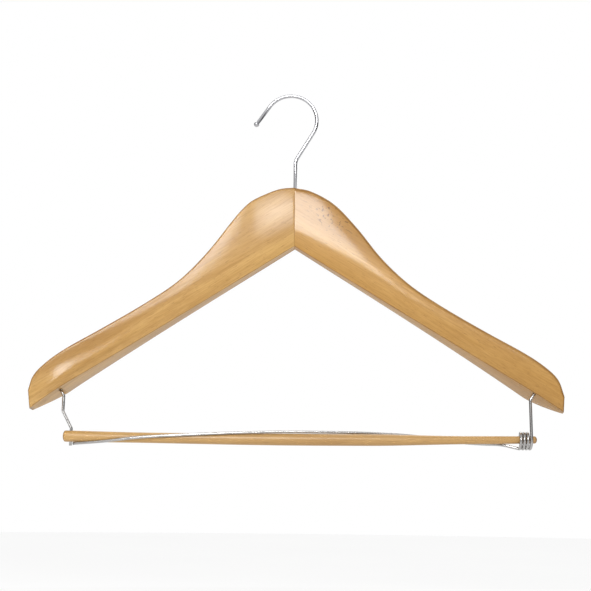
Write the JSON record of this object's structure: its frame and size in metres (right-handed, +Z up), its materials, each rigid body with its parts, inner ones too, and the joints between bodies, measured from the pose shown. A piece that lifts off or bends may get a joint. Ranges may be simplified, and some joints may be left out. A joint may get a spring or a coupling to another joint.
{
  "type": "trouser-clamp suit hanger",
  "caption": "Contoured wooden suit hanger with a swivelling wire hook, a round trouser bar and a sprung steel wire that clamps trousers to the bar.",
  "frame": {"origin": "the point inside the hook's crown that rests on the rail, on the axis that the hook turns about", "axes": "+X along the hanger towards the coiled spring, +Z up along the hook's stem, and the front, where the arms curve forward, faces -Y"},
  "size_m": [0.442, 0.0351, 0.314],
  "materials": {
    "lacquered_wood": "clear gloss lacquer over honey-coloured hardwood",
    "bar_wood": "satin lacquer over turned hardwood",
    "dowel_wood": "raw beech",
    "hook_chrome": "bright chrome plating",
    "spring_wire": "bright nickel plating on spring steel",
    "steel": "plain turned steel"
  },
  "bodies": {
    "hook": {"hook": "hook_chrome"},
    "hanger": {"left_arm": "lacquered_wood", "right_arm": "lacquered_wood", "joint_dowel_upper": "dowel_wood", "joint_dowel_lower": "dowel_wood", "hook_bush": "steel", "hook_washer": "steel", "trouser_bar": "bar_wood", "left_leg": "spring_wire", "right_leg_spring": "spring_wire"},
    "clamp": {"clamp_wire": "spring_wire"}
  },
  "joints": [
    {"name": "hook_swivel", "type": "hinge", "parent": "hook", "child": "hanger", "pos_m": [0, 0, -0.1], "axis": [0, 0, 1], "continuous": true},
    {"name": "clamp_swing", "type": "hinge", "parent": "hanger", "child": "clamp", "pos_m": [0.05, -0.01147, -0.29691], "axis": [0, 0, 1], "range_deg": [0, 22], "stiffness_Nm_per_rad": 0.1}
  ]
}
